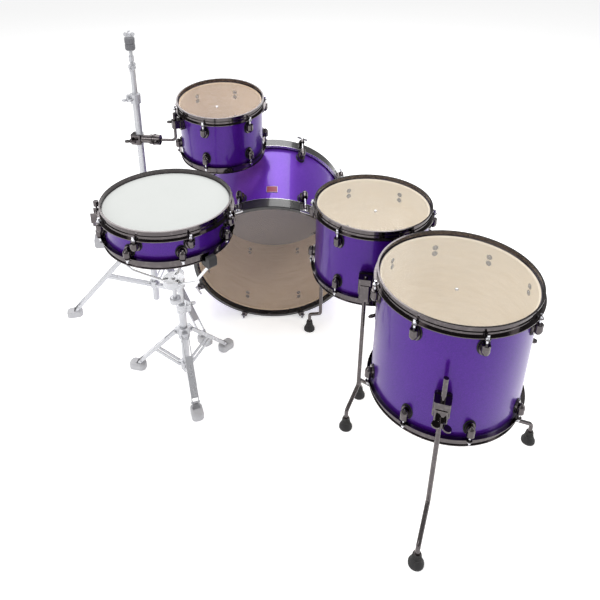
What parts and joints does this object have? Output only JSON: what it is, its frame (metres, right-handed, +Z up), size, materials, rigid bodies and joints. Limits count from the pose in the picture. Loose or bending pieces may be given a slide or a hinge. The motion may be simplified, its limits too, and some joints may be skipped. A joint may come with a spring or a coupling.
{
  "type": "acoustic drum kit",
  "caption": "Acoustic drum kit: bass drum, floor toms on legs, a rack tom clamped to a cymbal stand, and a snare drum in a tilting basket stand.",
  "frame": {"origin": "on the floor under the middle of the kit's outline", "axes": "+Z up, +X to the player's right along the kit's width, +Y away from the player"},
  "size_m": [1.6616, 1.4344, 1.138],
  "materials": {
    "shell_lacquer": "high gloss violet lacquer over birch ply",
    "hoop_lacquer": "gloss black lacquer",
    "black_nickel": "polished black nickel",
    "clear_film": "clear polyester film",
    "coated_film": "sprayed white coating",
    "dark_film": "satin dark film",
    "bright_chrome": "bright chrome",
    "stand_chrome": "pale bright chrome",
    "stand_rubber": "grey rubber",
    "felt": "pressed felt",
    "badge_plate": "brushed plate with a dark red inlay"
  },
  "bodies": {
    "kit": {"bass_shell": "shell_lacquer", "bass_hoops": "hoop_lacquer", "bass_batter_head": "clear_film", "bass_front_head": "dark_film", "bass_lugs": "black_nickel", "bass_claws": "black_nickel", "bass_tension_rods": "bright_chrome", "bass_badge": "badge_plate", "bass_spur_brackets": "black_nickel", "floor_tom_16_shell": "shell_lacquer", "floor_tom_14_shell": "shell_lacquer", "floor_tom_16_hoops": "black_nickel", "floor_tom_14_hoops": "black_nickel", "floor_tom_16_batter_head": "clear_film", "floor_tom_14_batter_head": "clear_film", "floor_tom_bottom_heads": "clear_film", "floor_tom_lugs": "black_nickel", "floor_tom_tension_rods": "bright_chrome", "floor_tom_leg_brackets": "black_nickel", "cymbal_stand_base_tube": "stand_chrome", "cymbal_stand_legs": "stand_chrome", "snare_stand_base_tube": "stand_chrome", "snare_stand_legs": "stand_chrome", "stand_feet": "stand_rubber"},
    "floor_tom_16_leg_front": {"floor_tom_16_leg_front": "black_nickel"},
    "floor_tom_16_leg_right": {"floor_tom_16_leg_right": "black_nickel"},
    "floor_tom_16_leg_left": {"floor_tom_16_leg_left": "black_nickel"},
    "floor_tom_14_leg_front": {"floor_tom_14_leg_front": "black_nickel"},
    "floor_tom_14_leg_right": {"floor_tom_14_leg_right": "black_nickel"},
    "floor_tom_14_leg_left": {"floor_tom_14_leg_left": "black_nickel"},
    "bass_spur_left": {"bass_spur_left": "black_nickel"},
    "bass_spur_right": {"bass_spur_right": "black_nickel"},
    "cymbal_stand_upper_tube": {"cymbal_stand_upper_tube": "stand_chrome"},
    "cymbal_tilter": {"cymbal_tilter": "stand_chrome", "cymbal_felts": "felt"},
    "cymbal_wing_nut": {"cymbal_wing_nut": "stand_chrome"},
    "tom_clamp": {"tom_clamp": "black_nickel"},
    "tom_ratchet": {"tom_ratchet_head": "black_nickel", "tom_l_rod": "black_nickel"},
    "rack_tom": {"rack_tom_shell": "shell_lacquer", "rack_tom_hoops": "black_nickel", "rack_tom_batter_head": "clear_film", "rack_tom_bottom_head": "clear_film", "rack_tom_lugs": "black_nickel", "rack_tom_tension_rods": "bright_chrome", "rack_tom_bracket": "black_nickel"},
    "snare_stand_upper_tube": {"snare_stand_upper_tube": "stand_chrome"},
    "snare_basket": {"snare_basket_hub": "stand_chrome"},
    "snare_basket_arm_1": {"snare_basket_arm_1": "stand_chrome"},
    "snare_basket_arm_2": {"snare_basket_arm_2": "stand_chrome"},
    "snare_basket_arm_3": {"snare_basket_arm_3": "stand_chrome"},
    "snare_drum": {"snare_shell": "shell_lacquer", "snare_hoops": "black_nickel", "snare_batter_head": "coated_film", "snare_bottom_head": "clear_film", "snare_lugs": "black_nickel", "snare_tension_rods": "bright_chrome", "snare_strainer": "black_nickel", "snare_wires": "bright_chrome"},
    "snare_throw_off": {"snare_throw_off_lever": "black_nickel"}
  },
  "joints": [
    {"name": "floor_tom_16_leg_front_height", "type": "slide", "parent": "kit", "child": "floor_tom_16_leg_front", "axis": [0, 0, 1], "range_m": [0, 0.1]},
    {"name": "floor_tom_16_leg_right_height", "type": "slide", "parent": "kit", "child": "floor_tom_16_leg_right", "axis": [0, 0, 1], "range_m": [0, 0.1]},
    {"name": "floor_tom_16_leg_left_height", "type": "slide", "parent": "kit", "child": "floor_tom_16_leg_left", "axis": [0, 0, 1], "range_m": [0, 0.1]},
    {"name": "floor_tom_14_leg_front_height", "type": "slide", "parent": "kit", "child": "floor_tom_14_leg_front", "axis": [0, 0, 1], "range_m": [0, 0.1]},
    {"name": "floor_tom_14_leg_right_height", "type": "slide", "parent": "kit", "child": "floor_tom_14_leg_right", "axis": [0, 0, 1], "range_m": [0, 0.1]},
    {"name": "floor_tom_14_leg_left_height", "type": "slide", "parent": "kit", "child": "floor_tom_14_leg_left", "axis": [0, 0, 1], "range_m": [0, 0.1]},
    {"name": "bass_spur_left_fold", "type": "hinge", "parent": "kit", "child": "bass_spur_left", "pos_m": [-0.22775, 0.51482, 0.11731], "axis": [-0.7071, -0.143, 0.6925], "range_deg": [0, 75]},
    {"name": "bass_spur_right_fold", "type": "hinge", "parent": "kit", "child": "bass_spur_right", "pos_m": [0.22395, 0.51482, 0.11731], "axis": [-0.7071, 0.143, -0.6925], "range_deg": [0, 75]},
    {"name": "cymbal_stand_height", "type": "slide", "parent": "kit", "child": "cymbal_stand_upper_tube", "axis": [0, 0, 1], "range_m": [-0.06, 0.25]},
    {"name": "cymbal_tilt", "type": "hinge", "parent": "cymbal_stand_upper_tube", "child": "cymbal_tilter", "pos_m": [-0.4844, 0.3743, 1.017], "axis": [0, 1, 0], "range_deg": [-80, 80]},
    {"name": "cymbal_wing_nut_turn", "type": "hinge", "parent": "cymbal_tilter", "child": "cymbal_wing_nut", "pos_m": [-0.4844, 0.3743, 1.118], "axis": [0, 0, 1], "continuous": true},
    {"name": "tom_clamp_swivel", "type": "hinge", "parent": "kit", "child": "tom_clamp", "pos_m": [-0.4844, 0.3743, 0.742], "axis": [0, 0, 1], "range_deg": [-20, 0]},
    {"name": "tom_ratchet_turn", "type": "hinge", "parent": "tom_clamp", "child": "tom_ratchet", "pos_m": [-0.4844, 0.3743, 0.742], "axis": [0.9838, -0.1791, 0], "range_deg": [0, 15]},
    {"name": "rack_tom_height", "type": "slide", "parent": "tom_ratchet", "child": "rack_tom", "axis": [0, 0, 1], "range_m": [0, 0.02]},
    {"name": "snare_stand_height", "type": "slide", "parent": "kit", "child": "snare_stand_upper_tube", "axis": [0, 0, 1], "range_m": [-0.04, 0.12]},
    {"name": "snare_basket_tilt", "type": "hinge", "parent": "snare_stand_upper_tube", "child": "snare_basket", "pos_m": [-0.2919, -0.1107, 0.47], "axis": [1, 0, 0], "range_deg": [0, 20]},
    {"name": "snare_basket_arm_1_open", "type": "hinge", "parent": "snare_basket", "child": "snare_basket_arm_1", "pos_m": [-0.27553, -0.19425, 0.516], "axis": [0.7314, 0.682, 0], "range_deg": [0, 10]},
    {"name": "snare_basket_arm_2_open", "type": "hinge", "parent": "snare_basket", "child": "snare_basket_arm_2", "pos_m": [-0.28488, -0.15375, 0.516], "axis": [-0.9563, 0.2924, 0], "range_deg": [0, 10]},
    {"name": "snare_basket_arm_3_open", "type": "hinge", "parent": "snare_basket", "child": "snare_basket_arm_3", "pos_m": [-0.31528, -0.1821, 0.516], "axis": [0.225, -0.9744, 0], "range_deg": [0, 10]},
    {"name": "snare_lift_off", "type": "slide", "parent": "snare_basket", "child": "snare_drum", "axis": [0, 0, 1], "range_m": [0, 0.15]},
    {"name": "snare_throw_off_turn", "type": "hinge", "parent": "snare_drum", "child": "snare_throw_off", "pos_m": [-0.4877, -0.1767, 0.75155], "axis": [0, 1, 0], "range_deg": [0, 80]}
  ],
  "couplings": [
    {"joint": "snare_basket_arm_2_open", "follows": "snare_basket_arm_1_open", "ratio": 1},
    {"joint": "snare_basket_arm_3_open", "follows": "snare_basket_arm_1_open", "ratio": 1}
  ]
}
